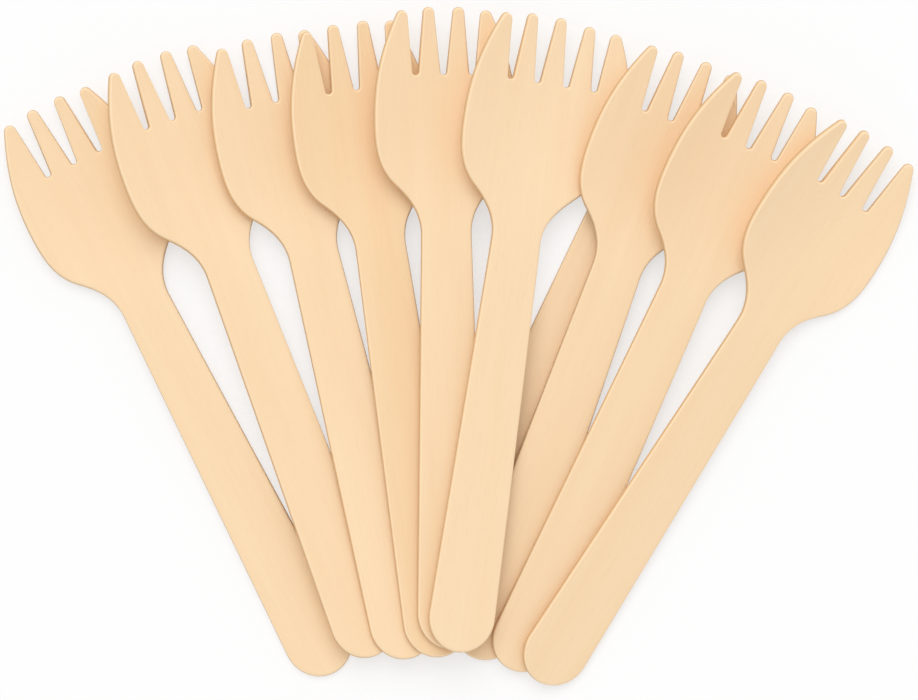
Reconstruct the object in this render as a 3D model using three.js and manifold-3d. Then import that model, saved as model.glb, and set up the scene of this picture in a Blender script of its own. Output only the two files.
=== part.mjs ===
// A fanned pack of disposable wooden sporks over one flat stick. Millimetres, +Z up, tines towards +Y.
// Every spork is one piece of birch veneer, die-cut to its outline and hot-pressed to a shallow bowl.
import * as THREE from 'three';
import { mergeVertices } from 'three/addons/utils/BufferGeometryUtils.js';
import Module from 'manifold-3d';

const wasm = await Module();
wasm.setup();

// Veneer
const VENEER_THICKNESS = 1.6;

// Handle, measured from the neck
const HANDLE_LENGTH = 103.5;
const HANDLE_WIDTH = 17;
const HANDLE_END_ROUND = 9;
const NECK_WIDTH = 12.7;

// Head, measured from the neck
const HEAD_LENGTH = 56.5;
const HEAD_WIDTH = 35.7;
const HEAD_WIDEST_AT = 28;
const SHOULDER_WIDTH = 25.2;
const SHOULDER_AT = 12;
const SHOULDER_ANGLE = 42;
const CURVE_REACH = 0.37;

// Tines
const TINE_COUNT = 4;
const TINE_PITCH = 7.5;
const OUTER_TINE_PITCH = 6.8;
const TINE_TIP_RADIUS = 1.5;
const OUTER_TINE_SETBACK = 1;
const OUTER_TINE_LEAN = 24;
const SLOT_DEPTH = 16.8;
const SLOT_ROOT_RADIUS = 0.7;

// Room for each extra tine, on the right of a head that is made wider for it
const EXTRA_WIDTH = 6.4;
const EXTRA_SHOULDER = 0.85;

// Pressed form: the bowl lies below the handle's plane, and its sides rise as a trough
const BEND_START = -6;
const BOWL_CENTRE = 30;
const BOWL_DEPTH = 2.2;
const TROUGH_RISE = 2.4;
const TIP_DROP = 0.6;

// Flat stick, with round ends
const STICK_LENGTH = 140;
const STICK_WIDTH = 17;

// Facets
const CURVE_SEGMENTS = 4;
const STICK_SEGMENTS = 16;
const SHEET_COLUMNS = 6;
const HEAD_ROWS = 10;
const PUNCH_REACH = 8;
const SHEET_MARGIN = 2;
const WELD_DISTANCE = 1e-5;
const SLOPE_STEP = 0.05;

// Stacking: the gap left between two pieces, and how closely their surfaces are compared
const SEAT_GAP = 0.3;
const SAMPLE_STEP = 2;
const SAMPLES_ACROSS = 9;
const RIM_SEGMENTS = 8;
const HEIGHT_PASSES = 3;
const FAR_AWAY = 1e4;
const FOOT_EXCHANGES = 200;
const SETTLED_WITHIN = 1e-6;
const SETTLING_SWEEPS = 60;
const SETTLING_EASE = 0.5;

// The fan: where each neck lies, how far its head leans to the left, and its layer in the pile.
// Handles and heads have layers of their own, because spork_06 is woven under spork_07.
const FAN = [
  { name: 'spork_01', at: [-78.2, 10.5], lean: 27, handleLayer: 2, headLayer: 2, extraTines: 0 },
  { name: 'spork_02', at: [-57.0, 19.8], lean: 20.6, handleLayer: 3, headLayer: 3, extraTines: 0 },
  { name: 'spork_03', at: [-36.1, 22.9], lean: 13.6, handleLayer: 4, headLayer: 4, extraTines: 0 },
  { name: 'spork_04', at: [-19.4, 25.1], lean: 8.5, handleLayer: 5, headLayer: 5, extraTines: 0 },
  { name: 'spork_05', at: [-3.0, 28.3], lean: 0.7, handleLayer: 6, headLayer: 6, extraTines: 0 },
  { name: 'spork_06', at: [14.35, 26.6], lean: -8.2, handleLayer: 10, headLayer: 7, extraTines: 1 },
  { name: 'spork_07', at: [39.5, 19.2], lean: -20.0, handleLayer: 1.5, headLayer: 8, extraTines: 0 },
  { name: 'spork_08', at: [56.0, 13.3], lean: -24.5, handleLayer: 1.7, headLayer: 9, extraTines: 0 },
  { name: 'spork_09', at: [74.9, 3.9], lean: -32.2, handleLayer: 1.9, headLayer: 10, extraTines: 0 },
];

// The stick: where its middle lies. Only one edge of it shows, to the left of spork_07.
const STICK = { name: 'flat_stick', at: [19.44, -11.93], lean: -25.6, handleLayer: 0, headLayer: 0 };

const BIRCH = { color: '#f6d6a8', roughness: 0.75, metalness: 0, flatShading: true };

const UP = new THREE.Vector2(0, 1);

function direction(degrees) {
  return new THREE.Vector2(1, 0).rotateAround(new THREE.Vector2(), THREE.MathUtils.degToRad(degrees));
}

// A curve that leaves one point and reaches the next in the given directions
function easedCurve(from, fromDirection, to, toDirection) {
  const reach = CURVE_REACH * from.distanceTo(to);
  const leave = from.clone().addScaledVector(fromDirection, reach);
  const arrive = to.clone().addScaledVector(toDirection, -reach);
  return new THREE.CubicBezierCurve(from, leave, arrive, to);
}

// How far each tine stands to the right of the axis, listed from right to left
function tinesAcross(extraTines) {
  const leftmost = -(TINE_COUNT - 3) / 2 * TINE_PITCH;
  const innerCount = TINE_COUNT - 2 + extraTines;
  const inner = Array.from({ length: innerCount }, (_, tine) => leftmost + tine * TINE_PITCH);
  return [leftmost - OUTER_TINE_PITCH, ...inner, inner.at(-1) + OUTER_TINE_PITCH].reverse();
}

// Tine tips are convex circles on an arch, and slot roots between them are concave ones
function tineCircles(extraTines) {
  const across = tinesAcross(extraTines);
  return across.flatMap((x, tine) => {
    const setback = OUTER_TINE_SETBACK * Math.max(0, Math.abs(x) / TINE_PITCH - 0.5);
    const tip = new THREE.Vector2(x, HEAD_LENGTH - setback - TINE_TIP_RADIUS);
    const circles = [{ centre: tip, radius: TINE_TIP_RADIUS, convex: true }];
    if (tine < across.length - 1) {
      const root = new THREE.Vector2((x + across[tine + 1]) / 2, HEAD_LENGTH - SLOT_DEPTH + SLOT_ROOT_RADIUS);
      circles.push({ centre: root, radius: SLOT_ROOT_RADIUS, convex: false });
    }
    return circles;
  });
}

// Angle at which the straight side between a convex and a concave circle leaves the first of them
function crossTangent(first, second) {
  const between = second.centre.clone().sub(first.centre);
  const spread = Math.acos((first.radius + second.radius) / between.length());
  return between.angle() + (first.convex ? -spread : spread);
}

// The right side's curves, from the neck over the shoulder and the widest place to the outer tine
function sideCurves(extraTines) {
  const outerTip = tineCircles(extraTines)[0];
  const neck = new THREE.Vector2(NECK_WIDTH / 2, 0);
  const shoulder = new THREE.Vector2(SHOULDER_WIDTH / 2 + extraTines * EXTRA_SHOULDER, SHOULDER_AT);
  const widest = new THREE.Vector2(HEAD_WIDTH / 2 + extraTines * EXTRA_WIDTH, HEAD_WIDEST_AT);
  const corner = outerTip.centre.clone().addScaledVector(direction(OUTER_TINE_LEAN), outerTip.radius);
  return [
    easedCurve(neck, UP, shoulder, direction(SHOULDER_ANGLE)),
    easedCurve(shoulder, direction(SHOULDER_ANGLE), widest, UP),
    easedCurve(widest, UP, corner, direction(OUTER_TINE_LEAN + 90)),
  ];
}

// The die-cut outline, counterclockwise from the handle's round end
function sporkOutline(extraTines) {
  const outline = new THREE.Shape();
  const right = sideCurves(extraTines);
  const left = sideCurves(0).reverse();
  const endY = HANDLE_END_ROUND - HANDLE_LENGTH;
  outline.moveTo(-HANDLE_WIDTH / 2, endY);
  outline.absellipse(0, endY, HANDLE_WIDTH / 2, HANDLE_END_ROUND, Math.PI, 2 * Math.PI, false);
  outline.lineTo(right[0].v0.x, right[0].v0.y);
  for (const { v1, v2, v3 } of right) {
    outline.bezierCurveTo(v1.x, v1.y, v2.x, v2.y, v3.x, v3.y);
  }
  const lean = THREE.MathUtils.degToRad(OUTER_TINE_LEAN);
  let start = lean;
  tineCircles(extraTines).forEach((circle, index, circles) => {
    const next = circles[index + 1];
    const end = next ? crossTangent(circle, next) : Math.PI - lean;
    outline.absarc(circle.centre.x, circle.centre.y, circle.radius, start, end, !circle.convex);
    start = end + Math.PI;
  });
  for (const { v0, v1, v2 } of left) {
    outline.bezierCurveTo(-v2.x, v2.y, -v1.x, v1.y, -v0.x, v0.y);
  }
  outline.closePath();
  return outline;
}

// Height of the pressed veneer's middle layer: a flat handle, a dip at the bowl and a trough across it
function pressedHeight(x, y, extraTines) {
  const widening = extraTines * EXTRA_WIDTH;
  const across = (2 * x - widening) / (HEAD_WIDTH + widening);
  const press = THREE.MathUtils.smoothstep(y, BEND_START, BOWL_CENTRE);
  const beyond = Math.max(0, y - BOWL_CENTRE) / (HEAD_LENGTH - BOWL_CENTRE);
  const dip = (BOWL_DEPTH - TIP_DROP) * beyond ** 2 - BOWL_DEPTH * press;
  return dip + press * TROUGH_RISE * across ** 2;
}

// Upward normal of veneer whose middle layer has the given height
function veneerNormal(heightAt, x, y) {
  const riseX = heightAt(x + SLOPE_STEP, y) - heightAt(x - SLOPE_STEP, y);
  const riseY = heightAt(x, y + SLOPE_STEP) - heightAt(x, y - SLOPE_STEP);
  return new THREE.Vector3(-riseX, -riseY, 2 * SLOPE_STEP).normalize();
}

// Press a flat geometry: each point keeps its distance from the middle layer, along the normal
function pressed(geometry, heightAt) {
  const positions = geometry.getAttribute('position');
  const point = new THREE.Vector3();
  for (let index = 0; index < positions.count; index += 1) {
    point.fromBufferAttribute(positions, index);
    const normal = veneerNormal(heightAt, point.x, point.y);
    const offset = point.z;
    point.z = heightAt(point.x, point.y);
    point.addScaledVector(normal, offset);
    positions.setXYZ(index, point.x, point.y, point.z);
  }
  return geometry;
}

// A sheet of veneer, with one long row of facets on the flat handle and close rows over the bowl
function veneerSheet(extraTines) {
  const rows = HEAD_ROWS + 1;
  const widening = extraTines * EXTRA_WIDTH;
  const width = Math.max(HEAD_WIDTH, HANDLE_WIDTH) + widening + 2 * SHEET_MARGIN;
  const sheet = new THREE.BoxGeometry(width, rows, VENEER_THICKNESS, SHEET_COLUMNS, rows, 1);
  const positions = sheet.getAttribute('position');
  const rowStep = (HEAD_LENGTH + SHEET_MARGIN - BEND_START) / HEAD_ROWS;
  for (let index = 0; index < positions.count; index += 1) {
    const row = Math.round(positions.getY(index) + rows / 2);
    const y = row === 0 ? -HANDLE_LENGTH - SHEET_MARGIN : BEND_START + (row - 1) * rowStep;
    positions.setY(index, y);
  }
  return sheet.translate(widening / 2, 0, 0);
}

function toSolid(geometry) {
  geometry.deleteAttribute('normal');
  geometry.deleteAttribute('uv');
  const merged = mergeVertices(geometry, WELD_DISTANCE);
  const mesh = new wasm.Mesh({
    numProp: 3,
    vertProperties: Float32Array.from(merged.getAttribute('position').array),
    triVerts: Uint32Array.from(merged.getIndex().array),
  });
  return new wasm.Manifold(mesh);
}

// One spork: the pressed sheet within the pressed outline, so its cut edge stands square to the veneer
function sporkGeometry(extraTines) {
  const heightAt = (x, y) => pressedHeight(x, y, extraTines);
  const options = { depth: 2 * PUNCH_REACH, bevelEnabled: false, curveSegments: CURVE_SEGMENTS };
  const punch = new THREE.ExtrudeGeometry(sporkOutline(extraTines), options).translate(0, 0, -PUNCH_REACH);
  const sheet = veneerSheet(extraTines);
  const spork = toSolid(pressed(punch, heightAt)).intersect(toSolid(pressed(sheet, heightAt)));
  const { vertProperties, triVerts } = spork.getMesh();
  const geometry = new THREE.BufferGeometry();
  geometry.setAttribute('position', new THREE.BufferAttribute(vertProperties, 3));
  geometry.setIndex(new THREE.BufferAttribute(triVerts, 1));
  return geometry;
}

// The stick is flat, and its two ends are half circles
function stickGeometry() {
  const radius = STICK_WIDTH / 2;
  const endY = STICK_LENGTH / 2 - radius;
  const outline = new THREE.Shape();
  outline.absarc(0, -endY, radius, Math.PI, 2 * Math.PI, false);
  outline.absarc(0, endY, radius, 0, Math.PI, false);
  const options = { depth: VENEER_THICKNESS, bevelEnabled: false, curveSegments: STICK_SEGMENTS };
  const stick = new THREE.ExtrudeGeometry(outline, options).translate(0, 0, -VENEER_THICKNESS / 2);
  return mergeVertices(stick.deleteAttribute('normal').deleteAttribute('uv'), WELD_DISTANCE);
}

// A spork's right rim from the handle's end to the tines, with the slots filled, in order of y
function sporkRim(extraTines) {
  const endY = HANDLE_END_ROUND - HANDLE_LENGTH;
  const end = new THREE.EllipseCurve(0, endY, HANDLE_WIDTH / 2, HANDLE_END_ROUND, -Math.PI / 2, 0);
  const innerTip = new THREE.Vector2((TINE_COUNT / 2 - 1) * TINE_PITCH, HEAD_LENGTH);
  const curves = [end, ...sideCurves(extraTines)];
  return [...curves.flatMap((curve) => curve.getPoints(RIM_SEGMENTS)), innerTip];
}

// The stick's right rim, in order of y
function stickRim() {
  const radius = STICK_WIDTH / 2;
  const endY = STICK_LENGTH / 2 - radius;
  const near = new THREE.EllipseCurve(0, -endY, radius, radius, -Math.PI / 2, 0);
  const far = new THREE.EllipseCurve(0, endY, radius, radius, 0, Math.PI / 2);
  return [...near.getPoints(RIM_SEGMENTS), ...far.getPoints(RIM_SEGMENTS)];
}

// How far a rim lies from the axis, with room for a tilted edge, or nothing past the piece's ends
function rimReach(rim, y) {
  const edge = VENEER_THICKNESS / 2;
  const above = rim.findIndex((point) => point.y >= y);
  if (above < 1) {
    return above === 0 && y >= rim[0].y - edge ? edge : undefined;
  }
  const low = rim[above - 1];
  const high = rim[above];
  return THREE.MathUtils.mapLinear(y, low.y, high.y, low.x, high.x) + edge;
}

// What the settling needs to know of one shape: its rims, its height, points all over it and its balance
function survey(left, right, heightAt) {
  const points = [];
  const balance = new THREE.Vector3();
  let area = 0;
  for (let { y } = right[0]; y <= right.at(-1).y; y += SAMPLE_STEP) {
    const from = -rimReach(left, y);
    const to = rimReach(right, y);
    for (let column = 0; column < SAMPLES_ACROSS; column += 1) {
      const x = THREE.MathUtils.lerp(from, to, column / (SAMPLES_ACROSS - 1));
      points.push(new THREE.Vector3(x, y, heightAt(x, y)));
    }
    balance.addScaledVector(new THREE.Vector3((from + to) / 2, y, 0), to - from);
    area += to - from;
  }
  return { left, right, heightAt, points, balance: balance.divideScalar(area) };
}

// Put a piece on a sloping plane that passes its place at the given height
function place(piece, { height, slopeX, slopeY }) {
  const normal = new THREE.Vector3(-slopeX, -slopeY, 1).normalize();
  const plan = direction(piece.lean + 90);
  const ahead = new THREE.Vector3(plan.x, plan.y, slopeX * plan.x + slopeY * plan.y).normalize();
  const right = ahead.clone().cross(normal);
  piece.plane = { height, slopeX, slopeY };
  piece.matrix = new THREE.Matrix4().makeBasis(right, ahead, normal);
  piece.matrix.setPosition(piece.at[0], piece.at[1], height);
  piece.inverse = piece.matrix.clone().invert();
  piece.points = piece.shape.points.map((point) => point.clone().applyMatrix4(piece.matrix));
}

// Height of a piece's plane over a point of the plan
function planeHeight({ at, plane }, x, y) {
  return plane.height + plane.slopeX * (x - at[0]) + plane.slopeY * (y - at[1]);
}

// The underside, top and layer of a piece over a point of the plan, or nothing where it doesn't reach
function veneerOver(piece, x, y) {
  const { heightAt, left, right } = piece.shape;
  const point = new THREE.Vector3(x, y, planeHeight(piece, x, y));
  const local = point.clone().applyMatrix4(piece.inverse);
  if (Math.abs(local.x) > HEAD_WIDTH || local.y > HEAD_LENGTH + HANDLE_WIDTH) {
    return undefined;
  }
  for (let pass = 0; pass < HEIGHT_PASSES; pass += 1) {
    point.z += heightAt(local.x, local.y) - local.z;
    local.copy(point).applyMatrix4(piece.inverse);
  }
  const reach = rimReach(local.x < 0 ? left : right, local.y);
  if (reach === undefined || Math.abs(local.x) > reach) {
    return undefined;
  }
  const normal = veneerNormal(heightAt, local.x, local.y).transformDirection(piece.matrix);
  const half = VENEER_THICKNESS / 2 / normal.z;
  const layer = local.y < 0 ? piece.handleLayer : piece.headLayer;
  return { under: point.z - half, top: point.z + half, layer };
}

// How high a piece's plane has to pass, over each point where the ground or a lower piece is under it
function supports(piece, others) {
  const points = [];
  const addSupport = ({ x, y }, under, height) => {
    points.push(new THREE.Vector3(x, y, planeHeight(piece, x, y) + height - under));
  };
  for (const point of piece.points) {
    addSupport(point, veneerOver(piece, point.x, point.y)?.under ?? point.z - VENEER_THICKNESS / 2, 0);
  }
  for (const other of others) {
    for (const point of [...piece.points, ...other.points]) {
      const upper = veneerOver(piece, point.x, point.y);
      const lower = upper && veneerOver(other, point.x, point.y);
      if (lower && lower.layer < upper.layer) {
        addSupport(point, upper.under, lower.top + SEAT_GAP);
      }
    }
  }
  return points;
}

// The lowest of a point's three shares in a triangle, seen from above: negative when it lies outside
function lowestShare(corners, point) {
  const flat = corners.map(({ x, y }) => new THREE.Vector3(x, y, 0));
  const shares = new THREE.Triangle(...flat).getBarycoord(point, new THREE.Vector3());
  return shares ? Math.min(...shares.toArray()) : -Infinity;
}

// The plane through three points, as its slopes and its height over any point
function planeThrough(feet) {
  const { normal, constant } = new THREE.Plane().setFromCoplanarPoints(...feet);
  const heightAt = ({ x, y }) => -(normal.x * x + normal.y * y + constant) / normal.z;
  return { heightAt, slopeX: -normal.x / normal.z, slopeY: -normal.y / normal.z };
}

// The plane that rests on three of the points, around the centre of gravity, with no point above it
function restingPlane(points, centre) {
  let feet = [0, 120, 240].map((angle) => {
    const away = direction(angle).multiplyScalar(FAR_AWAY);
    return new THREE.Vector3(centre.x + away.x, centre.y + away.y, -FAR_AWAY);
  });
  let plane = planeThrough(feet);
  for (let exchange = 0; exchange < FOOT_EXCHANGES; exchange += 1) {
    const excess = (point) => point.z - plane.heightAt(point);
    const highest = points.reduce((best, point) => (excess(point) > excess(best) ? point : best));
    if (excess(highest) < SETTLED_WITHIN) {
      break;
    }
    const swaps = feet.map((foot, index) => feet.with(index, highest));
    const share = (swap) => lowestShare(swap, centre);
    feet = swaps.reduce((best, swap) => (share(swap) > share(best) ? swap : best));
    plane = planeThrough(feet);
  }
  return plane;
}

// Lower a piece part of the way to its resting plane
function lower(piece, others, ease) {
  const centre = piece.shape.balance.clone().applyMatrix4(piece.matrix).setZ(0);
  const { heightAt, slopeX, slopeY } = restingPlane(supports(piece, others), centre);
  const height = heightAt({ x: piece.at[0], y: piece.at[1] });
  place(piece, {
    height: THREE.MathUtils.lerp(piece.plane.height, height, ease),
    slopeX: THREE.MathUtils.lerp(piece.plane.slopeX, slopeX, ease),
    slopeY: THREE.MathUtils.lerp(piece.plane.slopeY, slopeY, ease),
  });
}

// Lay the pieces down from the lowest layer up, then ease them less and less until woven ones lie clear
function settle(pile) {
  const order = [...pile].sort((a, b) => a.handleLayer - b.handleLayer);
  order.forEach((piece, index) => {
    place(piece, { height: 0, slopeX: 0, slopeY: 0 });
    lower(piece, order.slice(0, index), 1);
  });
  for (let sweep = SETTLING_SWEEPS; sweep > 0; sweep -= 1) {
    const ease = SETTLING_EASE * sweep / SETTLING_SWEEPS;
    for (const piece of order) {
      lower(piece, order.filter((other) => other !== piece), ease);
    }
  }
}

// The pack, standing on the ground with the middle of its plan at the origin
function sporkPack() {
  const pack = new THREE.Group();
  const sporks = FAN.map((row) => {
    const heightAt = (x, y) => pressedHeight(x, y, row.extraTines);
    const shape = survey(sporkRim(0), sporkRim(row.extraTines), heightAt);
    return { ...row, shape, geometry: sporkGeometry(row.extraTines) };
  });
  const stick = { ...STICK, shape: survey(stickRim(), stickRim(), () => 0), geometry: stickGeometry() };
  const pile = [...sporks, stick];
  settle(pile);
  for (const { name, matrix, geometry } of pile) {
    const mesh = new THREE.Mesh(geometry, new THREE.MeshStandardMaterial(BIRCH));
    mesh.name = name;
    mesh.applyMatrix4(matrix);
    pack.add(mesh);
  }
  const box = new THREE.Box3().setFromObject(pack, true);
  const middle = box.getCenter(new THREE.Vector3());
  pack.position.set(-middle.x, -middle.y, -box.min.z);
  return pack;
}

export default sporkPack();
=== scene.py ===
import bmesh
import bpy
import numpy as np
from mathutils import Matrix, Vector


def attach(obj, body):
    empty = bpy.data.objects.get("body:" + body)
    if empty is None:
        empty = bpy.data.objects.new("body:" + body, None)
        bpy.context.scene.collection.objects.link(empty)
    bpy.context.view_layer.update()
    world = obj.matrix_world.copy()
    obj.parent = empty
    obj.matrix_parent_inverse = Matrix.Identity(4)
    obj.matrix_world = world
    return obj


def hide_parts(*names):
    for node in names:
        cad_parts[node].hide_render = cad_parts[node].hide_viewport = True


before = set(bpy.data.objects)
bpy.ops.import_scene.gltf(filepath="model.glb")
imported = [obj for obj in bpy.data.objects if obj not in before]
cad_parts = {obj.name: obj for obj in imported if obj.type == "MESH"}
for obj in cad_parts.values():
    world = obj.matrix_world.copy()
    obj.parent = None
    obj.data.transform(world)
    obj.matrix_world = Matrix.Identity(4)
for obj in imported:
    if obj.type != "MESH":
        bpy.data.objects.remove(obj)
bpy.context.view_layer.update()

# The four-tined sporks
# Eight disposable sporks, each one strip of birch veneer: the outline is die-cut, then the head is
# hot-pressed into a shallow bowl. They lie loose in a fan, every one leaning on the one before it.

MM = 0.001

FOUR_TINED_SPORKS = (1, 2, 3, 4, 5, 7, 8, 9)
# Spork 04 gets a darker, warmer copy of the veneer: partly its own tone, partly painted shade for the
# crevice under its neighbour.
WARM_SHADED_SPORK = 4

VENEER = 1.6 * MM
HANDLE_LENGTH = 103.5 * MM
HANDLE_WIDTH = 17 * MM
HANDLE_END_ROUND = 9 * MM
NECK_WIDTH = 12.7 * MM
HEAD_LENGTH = 56.5 * MM
HEAD_WIDTH = 35.7 * MM
HEAD_WIDEST_AT = 28 * MM
SHOULDER_WIDTH = 25.2 * MM
SHOULDER_AT = 12 * MM
SHOULDER_LEAN = np.radians(42)
CURVE_REACH = 0.37

TINES = 4
TINE_PITCH = 7.5 * MM
OUTER_TINE_PITCH = 6.8 * MM
TIP_RADIUS = 1.5 * MM
OUTER_TIP_SETBACK = 1 * MM
OUTER_TIP_LEAN = np.radians(24)
SLOT_DEPTH = 16.8 * MM
SLOT_RADIUS = 0.7 * MM

BEND_START = -6 * MM
BOWL_CENTRE = 30 * MM
BOWL_DEPTH = 2.2 * MM
TROUGH_RISE = 2.4 * MM
TIP_DROP = 0.6 * MM

EDGE_ROUND_WIDTH = 0.5 * MM
EDGE_ROUND_DEPTH = 0.35 * MM
EDGE_FLARE = 0.2 * MM
EDGE_BAND = 0.85 * MM
EDGE_STEPS = 5
# Shares of a brown that is painted contact shade: a faint line along the upper corner's inner side, and the
# top of the wall, from where it grows to full brown at the lower corner.
INNER_LINE_SHARE = 0.07
WALL_TOP_PAINTED_SHADE = 0.1
# The upper corner's colour: paler cut wood, lightened further as a painted highlight.
PALE_CUT_AND_HIGHLIGHT = "#FEE1B9"
PAINTED_SHADE_BROWN = "#D4A872"

# Width and length of the grain's figures. Fibres and pores are drawn about four times coarser than the
# real 0.08 mm, so that they show.
YEAR_RING = (6 * MM, 90 * MM)
FIBRE = (0.35 * MM, 22 * MM)
PORE = (0.3 * MM, 3.5 * MM)
FIGURE_DETAIL = 3.0
FIGURE_ROUGHNESS = 0.5

# The stretch of the noise that a figure uses, and the tones, roughness and relief that it gives
MID_NOISE = (0.3, 0.7)
LOW_NOISE = (0.28, 0.4)
FIBRE_TONES = (0.985, 1.006)
PORE_TONES = (0.965, 1.0)
FACE_ROUGHNESS = (0.74, 0.6)
RELIEF_STRENGTH = 0.2
RELIEF_DEPTH = 0.25 * MM

# How far apart in the wood two sheets are taken
NEXT_SHEET = np.array([0.9, 0.37, 0.23])

END_STEPS = 14
HANDLE_STEPS = 24
HEAD_STEPS = 44
ROOT_STEPS = 6
STRAIGHT_STEPS = 10
TIP_STEPS = 6
TINE_STEPS = ROOT_STEPS + STRAIGHT_STEPS + TIP_STEPS
TINE_COLUMNS = 8
CURVE_SAMPLES = 200
WELD = 0.001 * MM
FLAT_WITHIN = 0.99999

RIGHT = 0.0
UP = np.pi / 2
DOWN = -np.pi / 2


def heading(angle):
    """Unit vectors that point at these angles, anticlockwise from the right."""
    return np.stack([np.cos(angle), np.sin(angle)], axis=-1)


def eased_curve(start, start_angle, end, end_angle):
    """A cubic curve that leaves start and reaches end at the given headings."""
    reach = CURVE_REACH * np.linalg.norm(end - start)
    first = start + reach * heading(start_angle)
    second = end - reach * heading(end_angle)
    t = np.linspace(0, 1, CURVE_SAMPLES)[:, None]
    return (1 - t) ** 3 * start + 3 * t * (1 - t) ** 2 * first + 3 * t**2 * (1 - t) * second + t**3 * end


def tip_centres(widening):
    """Centres of the tine tips from right to left, the outer ones set back.

    A spork with a wider right side has one more tine there."""
    inner_tines = TINES - 1 if widening else TINES - 2
    inner = TINE_PITCH * (np.arange(inner_tines)[::-1] - (TINES - 3) / 2)
    across = np.concatenate([[inner[0] + OUTER_TINE_PITCH], inner, [inner[-1] - OUTER_TINE_PITCH]])
    setback = OUTER_TIP_SETBACK * np.maximum(0, np.abs(across) / TINE_PITCH - 0.5)
    return np.stack([across, HEAD_LENGTH - setback - TIP_RADIUS], axis=1)


def head_side(tip, widening, shoulder_extra):
    """The side of the head from the neck over the shoulder and the widest place to the outer tip."""
    neck = np.array([NECK_WIDTH / 2, 0])
    shoulder = np.array([SHOULDER_WIDTH / 2 + shoulder_extra, SHOULDER_AT])
    widest = np.array([HEAD_WIDTH / 2 + widening, HEAD_WIDEST_AT])
    corner = tip + TIP_RADIUS * heading(OUTER_TIP_LEAN)
    return np.concatenate([
        eased_curve(neck, UP, shoulder, SHOULDER_LEAN),
        eased_curve(shoulder, SHOULDER_LEAN, widest, UP),
        eased_curve(widest, UP, corner, OUTER_TIP_LEAN + UP),
    ])


def straight(start, end, steps):
    """Evenly spaced points from start to end."""
    return start + np.linspace(0, 1, steps + 1)[:, None] * (end - start)


def arc(centre, radius, start_angle, end_angle, steps):
    """Points on a circle from one angle to another."""
    return centre + radius * heading(np.linspace(start_angle, end_angle, steps + 1))


def body_side(side):
    """Half outline of the handle and the bowl, from the middle of the handle's end to the slot roots.

    The end is a quarter ellipse, the handle tapers straight to the neck, and the head follows side."""
    quarter = heading(np.linspace(DOWN, RIGHT, END_STEPS + 1))
    end = quarter * [HANDLE_WIDTH / 2, HANDLE_END_ROUND] - [0, HANDLE_LENGTH - HANDLE_END_ROUND]
    handle = straight(end[-1], side[0], HANDLE_STEPS)
    roots_at = HEAD_LENGTH - SLOT_DEPTH - EDGE_BAND
    along = np.linspace(0, roots_at, HEAD_STEPS + 1)
    head = np.stack([np.interp(along, side[:, 1], side[:, 0]), along], axis=1)
    return np.concatenate([end[:-1], handle[:-1], head])


def outer_tine_side(side, tip):
    """Outer side of an outer tine, from the level of the slot roots up and round to its tip."""
    roots_at = HEAD_LENGTH - SLOT_DEPTH - EDGE_BAND
    straight_at = HEAD_LENGTH - SLOT_DEPTH + SLOT_RADIUS
    low = np.linspace(roots_at, straight_at, ROOT_STEPS + 1)
    high = np.linspace(straight_at, side[-1, 1], STRAIGHT_STEPS + 1)
    along = np.append(low[:-1], high)
    flank = np.stack([np.interp(along, side[:, 1], side[:, 0]), along], axis=1)
    return np.append(flank[:-1], arc(tip, TIP_RADIUS, OUTER_TIP_LEAN, UP, TIP_STEPS), axis=0)


def inner_tine_side(tip, root):
    """Side of a tine from the bottom of the slot on its right, up and round to its tip.

    The straight stretch touches the slot's round root and the round tip on opposite sides."""
    away = tip - root
    swing = np.arccos((SLOT_RADIUS + TIP_RADIUS) / np.linalg.norm(away))
    leaves = np.arctan2(away[1], away[0]) + swing - 2 * np.pi
    bottom = arc(root, SLOT_RADIUS, DOWN, leaves, ROOT_STEPS)
    top = arc(tip, TIP_RADIUS, leaves + np.pi, UP, TIP_STEPS)
    return np.concatenate([bottom[:-1], straight(bottom[-1], top[0], STRAIGHT_STEPS)[:-1], top])


def mirrored(line):
    """The same line on the other side of the spork, run the other way."""
    return (line * [-1, 1])[::-1]


def die_cut_outline(widening, shoulder_extra):
    """The closed outline, anticlockwise from the middle of the handle's end."""
    flipped = np.array([-1, 1])
    tips = tip_centres(widening)
    right = head_side(tips[0], widening, shoulder_extra)
    left = head_side(tips[-1] * flipped, 0, 0)
    lines = [body_side(right), outer_tine_side(right, tips[0])]
    for tip, next_tip in zip(tips[:-1], tips[1:]):
        root = np.array([(tip[0] + next_tip[0]) / 2, HEAD_LENGTH - SLOT_DEPTH + SLOT_RADIUS])
        lines.append(mirrored(inner_tine_side(tip * flipped, root * flipped)))
        lines.append(inner_tine_side(next_tip, root))
    lines.append(mirrored(outer_tine_side(left, tips[-1] * flipped)))
    lines.append(mirrored(body_side(left)))
    return np.concatenate([line[:-1] for line in lines])


def outward(outline):
    """Unit normals of a closed anticlockwise outline, midway between those of the two edges that meet."""
    edges = np.roll(outline, -1, axis=0) - outline
    edges /= np.linalg.norm(edges, axis=1, keepdims=True)
    along = edges + np.roll(edges, 1, axis=0)
    along /= np.linalg.norm(along, axis=1, keepdims=True)
    return np.stack([along[:, 1], -along[:, 0]], axis=1)


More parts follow.
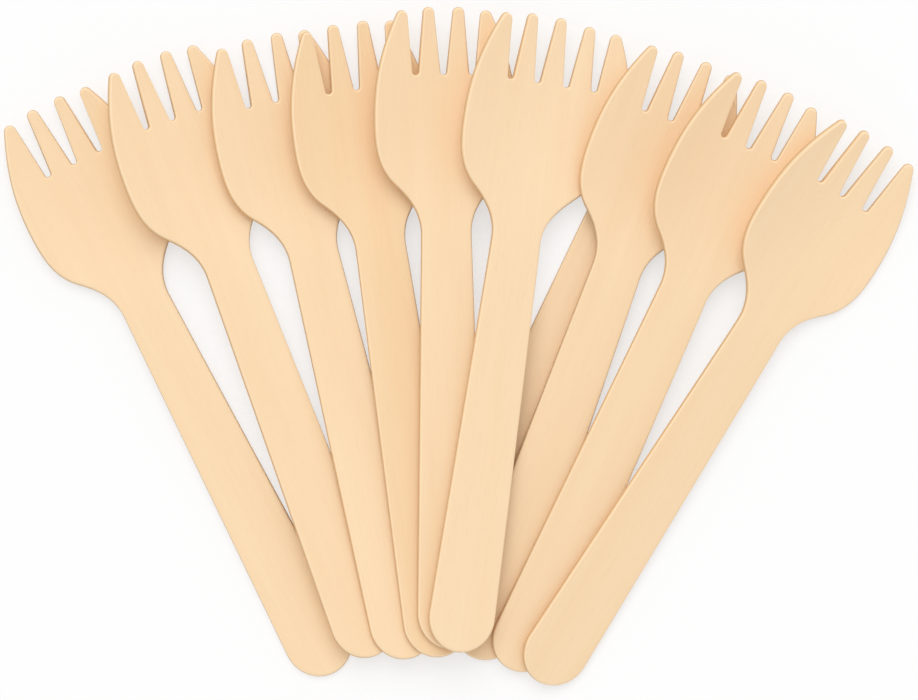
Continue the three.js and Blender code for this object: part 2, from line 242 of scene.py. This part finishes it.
def pressed(flat, widening):
    """Presses points of the flat blank (across, along, height in the veneer) into the bowl.

    The middle of the sheet sinks by an eased ramp from the bend to the bowl's centre and rises again by
    a parabola to the tips; a second parabola lifts both rims. Height is laid off along the normal."""
    across, along, height = flat.T
    half_width = (HEAD_WIDTH + widening) / 2
    side = (across - widening / 2) / half_width
    ramp = np.clip((along - BEND_START) / (BOWL_CENTRE - BEND_START), 0, 1)
    press = ramp**2 * (3 - 2 * ramp)
    beyond = np.maximum(0, along - BOWL_CENTRE) / (HEAD_LENGTH - BOWL_CENTRE)
    middle = (BOWL_DEPTH - TIP_DROP) * beyond**2 - BOWL_DEPTH * press + TROUGH_RISE * press * side**2
    slope_across = 2 * TROUGH_RISE * press * side / half_width
    ramp_slope = 6 * ramp * (1 - ramp) / (BOWL_CENTRE - BEND_START)
    rise_slope = 2 * (BOWL_DEPTH - TIP_DROP) * beyond / (HEAD_LENGTH - BOWL_CENTRE)
    slope_along = ramp_slope * (TROUGH_RISE * side**2 - BOWL_DEPTH) + rise_slope
    normal = np.stack([-slope_across, -slope_along, np.ones_like(across)], axis=1)
    normal /= np.linalg.norm(normal, axis=1, keepdims=True)
    return np.stack([across, along, middle], axis=1) + height[:, None] * normal


def between(right, left, shares):
    """Rows of points between two lines of equal length, at these shares of the way from right to left."""
    return right[:, None] + shares[None, :, None] * (left - right)[:, None]


def face_patches(inset, tines):
    """Grids that fill the inset outline: one for the handle and bowl, and one for each tine.

    The body's columns run on into the tines, so its last row is the tines' first rows, end to end."""
    body_rows = (len(inset) - 2 * tines * TINE_STEPS) // 2
    loop = np.append(inset, inset[:1], axis=0)
    shares = np.linspace(0, 1, TINE_COLUMNS + 1)
    starts = body_rows + 2 * TINE_STEPS * np.arange(tines)
    patches = []
    for start in starts:
        rising = loop[start:start + TINE_STEPS + 1]
        falling = loop[start + TINE_STEPS:start + 2 * TINE_STEPS + 1]
        patches.append(between(rising, falling[::-1], shares))
    base = np.concatenate([patch[0, :-1] for patch in patches] + [patches[-1][0, -1:]])
    base_shares = (base[0, 0] - base[:, 0]) / (base[0, 0] - base[-1, 0])
    right = loop[:body_rows + 1]
    left = loop[::-1][:body_rows + 1]
    body = between(right, left, base_shares)
    body[-1] = base
    return [body] + patches


def cut_edge():
    """Section of the edge from the top face to the underside: inset, height, share of pale cut with painted
    highlight, and share of painted shade.

    The tumbling drum has worn both corners to quarter ellipses, and between them the wall leans out to the
    underside. The upper corner is paler cut wood, lightened further as a painted highlight, with a faint
    line of painted shade brown along its inner side. The wall grows browner downwards into the lower corner,
    a brown that is painted contact shade where the edges lie over their neighbours."""
    turn = np.linspace(0, np.pi / 2, EDGE_STEPS + 1)
    inset = EDGE_ROUND_WIDTH * (1 - np.sin(turn))
    height = VENEER / 2 - EDGE_ROUND_DEPTH * (1 - np.cos(turn))
    none = np.zeros_like(turn)
    shaded = none.copy()
    shaded[0] = INNER_LINE_SHARE
    shaded[-1] = WALL_TOP_PAINTED_SHADE
    face = np.array([[EDGE_BAND, VENEER / 2, 0, 0]])
    upper = np.stack([EDGE_FLARE + inset, height, np.sqrt(np.sin(turn)), shaded], axis=1)
    lower = np.stack([inset, -height, none, np.sin(turn) ** 2], axis=1)
    return np.concatenate([face, upper, lower[::-1], face * [1, -1, 1, 1]])


def quads(rows, columns, first, turned):
    """Corner numbers of the squares of a grid whose rows run up and whose columns run from right to left."""
    number = first + np.arange(rows * columns).reshape(rows, columns)
    corners = [number[:-1, :-1], number[1:, :-1], number[1:, 1:], number[:-1, 1:]]
    return np.stack(corners[::-1] if turned else corners, axis=-1).reshape(-1, 4)


def veneer_mesh(name, outline, fill, press):
    """Mesh of one piece of veneer in its own frame, cut to an outline that starts at its near end.

    Both faces are the grids that fill lays inside the inset outline, the edge's section is carried round
    the outline between them, and press then bends the flat piece."""
    normals = outward(outline)
    inset, height, highlighted, painted_shade = cut_edge().T
    flats = []
    cuts = []
    faces = []
    count = 0
    for patch in fill(outline - EDGE_BAND * normals):
        rows, columns = patch.shape[:2]
        points = patch.reshape(-1, 2)
        for level in (VENEER / 2, -VENEER / 2):
            flats.append(np.column_stack([points, np.full(len(points), level)]))
            cuts.append(np.zeros((len(points), 2)))
            faces.append(quads(rows, columns, count, level < 0))
            count += len(points)
    ring = np.append(np.arange(len(outline)), 0)
    edge = outline[ring, None] - inset[None, :, None] * normals[ring, None]
    levels = np.broadcast_to(height[None, :, None], edge.shape[:2] + (1,))
    flats.append(np.concatenate([edge, levels], axis=2).reshape(-1, 3))
    cuts.append(np.tile(np.stack([highlighted, painted_shade], axis=1), (len(ring), 1)))
    faces.append(quads(len(ring), len(height), count, True))
    flat = np.concatenate(flats)

    mesh = bpy.data.meshes.new(name)
    mesh.from_pydata(press(flat), [], np.concatenate(faces).tolist())
    veneer = mesh.attributes.new("veneer", "FLOAT_VECTOR", "POINT")
    veneer.data.foreach_set("vector", flat.astype(np.float32).ravel())
    for part, share in zip(("pale_cut_and_highlight", "painted_shade_cut"), np.concatenate(cuts).T):
        cut = mesh.attributes.new(part, "FLOAT", "POINT")
        cut.data.foreach_set("value", share.astype(np.float32))
    shell = bmesh.new()
    shell.from_mesh(mesh)
    bmesh.ops.remove_doubles(shell, verts=shell.verts, dist=WELD)
    shell.to_mesh(mesh)
    shell.free()
    mesh.shade_smooth()
    return mesh


def spork_blank(name, widening, shoulder_extra):
    """Mesh of one spork: neck at the origin, tines ahead (+Y), bowl open upwards (+Z)."""
    tines = len(tip_centres(widening))
    return veneer_mesh(
        name,
        die_cut_outline(widening, shoulder_extra),
        lambda inset: face_patches(inset, tines),
        lambda flat: pressed(flat, widening),
    )


def resting_place(node, length_ahead):
    """Where a piece lies, read off its node.

    Up is the normal of its largest flat, ahead is the long axis of that flat's area, and the origin lies
    the given length ahead of the flat's near end and half a veneer below it."""
    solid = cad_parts[node].data
    solid.calc_loop_triangles()
    points = np.empty(3 * len(solid.vertices))
    solid.vertices.foreach_get("co", points)
    points = points.reshape(-1, 3)
    corners = np.empty(3 * len(solid.loop_triangles), dtype=np.int32)
    solid.loop_triangles.foreach_get("vertices", corners)
    triangles = points[corners.reshape(-1, 3)]
    spans = np.cross(triangles[:, 1] - triangles[:, 0], triangles[:, 2] - triangles[:, 0])
    areas = np.linalg.norm(spans, axis=1)
    up = spans[areas.argmax()] / areas.max()
    up *= np.sign(up[2])
    on_top = spans @ up > FLAT_WITHIN * areas
    flat = triangles[on_top]
    weights = areas[on_top]
    centre = np.average(flat.mean(axis=1), axis=0, weights=weights)
    arms = flat - centre
    sums = arms.sum(axis=1)
    moment = np.einsum("t,tci,tcj->ij", weights, arms, arms) + np.einsum("t,ti,tj->ij", weights, sums, sums)
    ahead = np.linalg.eigh(moment)[1][:, -1]
    ahead *= np.sign(ahead[1])
    ahead -= up * (ahead @ up)
    ahead /= np.linalg.norm(ahead)
    ends = flat.reshape(-1, 3)
    near = centre + ahead * ((ends - centre) @ ahead).min()
    origin = near + length_ahead * ahead - VENEER / 2 * up
    place = np.eye(4)
    place[:3] = np.stack([np.cross(ahead, up), ahead, up, origin], axis=1)
    return Matrix(place)


def linear(colour):
    """An sRGB hex colour as linear light, with full opacity."""
    share = np.array([int(colour[i:i + 2], 16) for i in (1, 3, 5)]) / 255
    light = np.where(share <= 0.04045, share / 12.92, ((share + 0.055) / 1.055) ** 2.4)
    return (*light, 1.0)


def add_node(tree, kind, inputs=None, **settings):
    """Adds a node with its settings; an input is a plain value or the output that feeds it."""
    node = tree.nodes.new(kind)
    for setting, value in settings.items():
        setattr(node, setting, value)
    for socket, value in (inputs or {}).items():
        if isinstance(value, bpy.types.NodeSocket):
            tree.links.new(value, node.inputs[socket])
        else:
            node.inputs[socket].default_value = value
    return node


def figure(tree, place, size):
    """Soft noise from 0 to 1, stretched to the width and length of one figure of the grain."""
    width, length = size
    scale = (1 / width, 1 / length, 1 / width)
    stretched = add_node(tree, "ShaderNodeMapping", {"Vector": place, "Scale": scale})
    return add_node(tree, "ShaderNodeTexNoise", {
        "Vector": stretched.outputs["Vector"], "Scale": 1.0,
        "Detail": FIGURE_DETAIL, "Roughness": FIGURE_ROUGHNESS,
    }).outputs["Fac"]


def carried(tree, value, old, new):
    """A value carried evenly from one range to another and held at its ends."""
    return add_node(tree, "ShaderNodeMapRange", {
        "Value": value, "From Min": old[0], "From Max": old[1], "To Min": new[0], "To Max": new[1],
    }).outputs["Result"]


def mixed(tree, share, first, second):
    """The first colour, giving way to the second as share goes from 0 to 1."""
    return add_node(tree, "ShaderNodeMix", {
        "Factor": share, "A": first, "B": second,
    }, data_type="RGBA").outputs["Result"]


def birch_veneer(name, late_wood, early_wood):
    """Birch veneer, peeled, dried and pressed smooth, with no finish on it.

    It gives the eye a pale, warm, matt face with soft lengthwise bands from the year rings, hair-fine
    streaks along the fibres and short darker pore lines. The cut edge is lighter above, partly a painted
    highlight, and brown below, which is painted contact shade."""
    material = bpy.data.materials.new(name)
    material.use_nodes = True
    tree = material.node_tree
    shader = tree.nodes["Principled BSDF"]
    place = add_node(tree, "ShaderNodeAttribute", attribute_name="veneer").outputs["Vector"]
    highlighted = add_node(tree, "ShaderNodeAttribute", attribute_name="pale_cut_and_highlight").outputs["Fac"]
    painted_shade = add_node(tree, "ShaderNodeAttribute", attribute_name="painted_shade_cut").outputs["Fac"]

    years = carried(tree, figure(tree, place, YEAR_RING), MID_NOISE, (0, 1))
    fibres = figure(tree, place, FIBRE)
    pores = figure(tree, place, PORE)
    grain = add_node(tree, "ShaderNodeMath", {
        0: carried(tree, fibres, MID_NOISE, FIBRE_TONES), 1: carried(tree, pores, LOW_NOISE, PORE_TONES),
    }, operation="MULTIPLY").outputs["Value"]
    face = add_node(tree, "ShaderNodeVectorMath", {
        0: mixed(tree, years, linear(late_wood), linear(early_wood)), "Scale": grain,
    }, operation="SCALE").outputs["Vector"]
    # Painted highlight, partly paler cut wood: the lighter colour on the upper corner of the cut edge.
    upper = mixed(tree, highlighted, face, linear(PALE_CUT_AND_HIGHLIGHT))
    # Painted contact shade: the brown on the cut wall and the lower corner.
    wood = mixed(tree, painted_shade, upper, linear(PAINTED_SHADE_BROWN))
    tree.links.new(wood, shader.inputs["Base Color"])
    tree.links.new(carried(tree, fibres, MID_NOISE, FACE_ROUGHNESS), shader.inputs["Roughness"])
    relief = add_node(tree, "ShaderNodeBump", {
        "Height": grain, "Strength": RELIEF_STRENGTH, "Distance": RELIEF_DEPTH,
    })
    tree.links.new(relief.outputs["Normal"], shader.inputs["Normal"])
    return material


plain_birch = birch_veneer("birch_veneer", "#F9D8AD", "#FBDDB5")
# A lighter copy: partly paler wood, partly painted light that lifts the stick in the shade between the
# handles.
pale_lit_birch = birch_veneer("birch_pale_and_lit_veneer", "#FADAB1", "#FCDFB8")
# A darker, warmer copy: partly wood of another tone, partly painted shade.
warm_shaded_birch = birch_veneer("birch_warm_and_shaded_veneer", "#F7D2A4", "#F9D8AD")


def lay_piece(node, blank, length_ahead, sheet, birch):
    """Puts a copy of the blank where its node lies, with the grain of a sheet of its own."""
    mesh = blank.copy()
    mesh.name = f"veneer_{node}"
    mesh.transform(resting_place(node, length_ahead))
    veneer = mesh.attributes["veneer"].data
    flat = np.empty(3 * len(veneer), dtype=np.float32)
    veneer.foreach_get("vector", flat)
    veneer.foreach_set("vector", (flat.reshape(-1, 3) + sheet * NEXT_SHEET).astype(np.float32).ravel())
    mesh.materials.append(birch)
    piece = bpy.data.objects.new(mesh.name, mesh)
    bpy.context.scene.collection.objects.link(piece)
    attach(piece, "root")
    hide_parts(node)


four_tined = spork_blank("four_tined_blank", 0, 0)
for number in FOUR_TINED_SPORKS:
    birch = warm_shaded_birch if number == WARM_SHADED_SPORK else plain_birch
    lay_piece(f"spork_{number:02d}", four_tined, HANDLE_LENGTH, sheet=number, birch=birch)

# The five-tined spork
# The one in front, of the same pressed veneer, is cut wider on its right and has a fifth tine there.
# It lies on top of the fan, its head tucked under the next one on the right.

FIFTH_TINE_ROOM = 6.4 * MM
FIFTH_TINE_SHOULDER = 0.85 * MM

five_tined = spork_blank("five_tined_blank", FIFTH_TINE_ROOM, FIFTH_TINE_SHOULDER)
lay_piece("spork_06", five_tined, HANDLE_LENGTH, sheet=6, birch=pale_lit_birch)

# The flat stick
# One plain strip of the same veneer, die-cut with two round ends and left flat.
# It lies on the ground under the handles, so that only a strip of it shows.

STICK_LENGTH = 140 * MM
STICK_WIDTH = 17 * MM
STICK_COLUMNS = 12


def stick_outline():
    """Two half circles joined by straight sides, anticlockwise from the middle of the near end."""
    radius = STICK_WIDTH / 2
    near = np.array([0, radius - STICK_LENGTH / 2])
    right = np.concatenate([
        arc(near, radius, DOWN, RIGHT, END_STEPS)[:-1],
        straight(near + [radius, 0], [radius, 0] - near, HANDLE_STEPS)[:-1],
        arc(-near, radius, RIGHT, UP, END_STEPS),
    ])
    return np.concatenate([right[:-1], mirrored(right)[:-1]])


def stick_face(inset):
    """One grid between the stick's two sides."""
    loop = np.append(inset, inset[:1], axis=0)
    half = len(inset) // 2
    return [between(loop[:half + 1], loop[::-1][:half + 1], np.linspace(0, 1, STICK_COLUMNS + 1))]


stick_blank = veneer_mesh("stick_blank", stick_outline(), stick_face, np.array)
lay_piece("flat_stick", stick_blank, STICK_LENGTH / 2, sheet=10, birch=pale_lit_birch)

# The white ground
# A matt white sheet that the pack lies on; it takes the soft shadows between the handles and tines.
# The camera sees it half lit from within, so that bare ground is white and the shadows stay pale.

GROUND_SIZE = 6.0
GROUND_WHITE = (0.97, 0.97, 0.97, 1)
PURE_WHITE = (1, 1, 1, 1)
GROUND_GLOW = 0.6


def seen_directly(tree):
    """1 for a ray from the camera, also by way of a mirror or through glass, and 0 for other rays."""
    path = add_node(tree, "ShaderNodeLightPath")
    seen = add_node(tree, "ShaderNodeMath", {
        0: path.outputs["Is Camera Ray"], 1: path.outputs["Is Glossy Ray"],
    }, operation="MAXIMUM")
    return add_node(tree, "ShaderNodeMath", {
        0: seen.outputs["Value"], 1: path.outputs["Is Transmission Ray"],
    }, operation="MAXIMUM").outputs["Value"]


corner = GROUND_SIZE / 2
ground_mesh = bpy.data.meshes.new("ground")
corners = [(-corner, -corner, 0), (corner, -corner, 0), (corner, corner, 0), (-corner, corner, 0)]
ground_mesh.from_pydata(corners, [], [(0, 1, 2, 3)])
paper = bpy.data.materials.new("matt_white_paper")
paper.use_nodes = True
tree = paper.node_tree
tree.nodes.clear()
glow = add_node(tree, "ShaderNodeMath", {0: seen_directly(tree), 1: GROUND_GLOW}, operation="MULTIPLY")
matt = add_node(tree, "ShaderNodeBsdfDiffuse", {"Color": GROUND_WHITE})
lit = add_node(tree, "ShaderNodeEmission", {"Color": PURE_WHITE, "Strength": 1.0})
half_lit = add_node(tree, "ShaderNodeMixShader", {
    0: glow.outputs["Value"], 1: matt.outputs["BSDF"], 2: lit.outputs["Emission"],
})
add_node(tree, "ShaderNodeOutputMaterial", {"Surface": half_lit.outputs["Shader"]})
ground_mesh.materials.append(paper)
ground = bpy.data.objects.new("ground", ground_mesh)
bpy.context.scene.collection.objects.link(ground)

# The studio light
# White light from all round fills the scene, and one very wide soft lamp stands high beyond the tines.
# Whatever looks straight at the surroundings sees plain white.

FILL = 0.7
KEY_FROM = Vector((-0.08, 0.65, 1.0))
KEY_SPREAD = np.radians(50)
KEY_STRENGTH = 1.15

world = bpy.data.worlds.new("studio")
world.use_nodes = True
tree = world.node_tree
tree.nodes.clear()
fill = add_node(tree, "ShaderNodeBackground", {"Color": PURE_WHITE, "Strength": FILL})
backdrop = add_node(tree, "ShaderNodeBackground", {"Color": PURE_WHITE, "Strength": 1.0})
shown = add_node(tree, "ShaderNodeMixShader", {
    0: seen_directly(tree), 1: fill.outputs["Background"], 2: backdrop.outputs["Background"],
})
add_node(tree, "ShaderNodeOutputWorld", {"Surface": shown.outputs["Shader"]})
bpy.context.scene.world = world

key_data = bpy.data.lights.new("key", "SUN")
key_data.angle = KEY_SPREAD
key_data.energy = KEY_STRENGTH
key = bpy.data.objects.new("key", key_data)
key.rotation_euler = (-KEY_FROM).to_track_quat("-Z", "Y").to_euler()
bpy.context.scene.collection.objects.link(key)

# The camera
# It looks straight down on the fan from a metre up, with the picture's top along +Y.
# The lens follows from the width of ground that it takes in.

CAMERA_HEIGHT = 1.0
VIEW_WIDTH = 230.36 * MM
VIEW_CENTRE = (0.09 * MM, -0.73 * MM)
SENSOR = 36.0

camera_data = bpy.data.cameras.new("camera")
camera_data.sensor_width = SENSOR
camera_data.lens = SENSOR * CAMERA_HEIGHT / VIEW_WIDTH
camera = bpy.data.objects.new("camera", camera_data)
camera.location = (*VIEW_CENTRE, CAMERA_HEIGHT)
bpy.context.scene.collection.objects.link(camera)
bpy.context.scene.camera = camera
bpy.context.scene.view_settings.view_transform = "Standard"
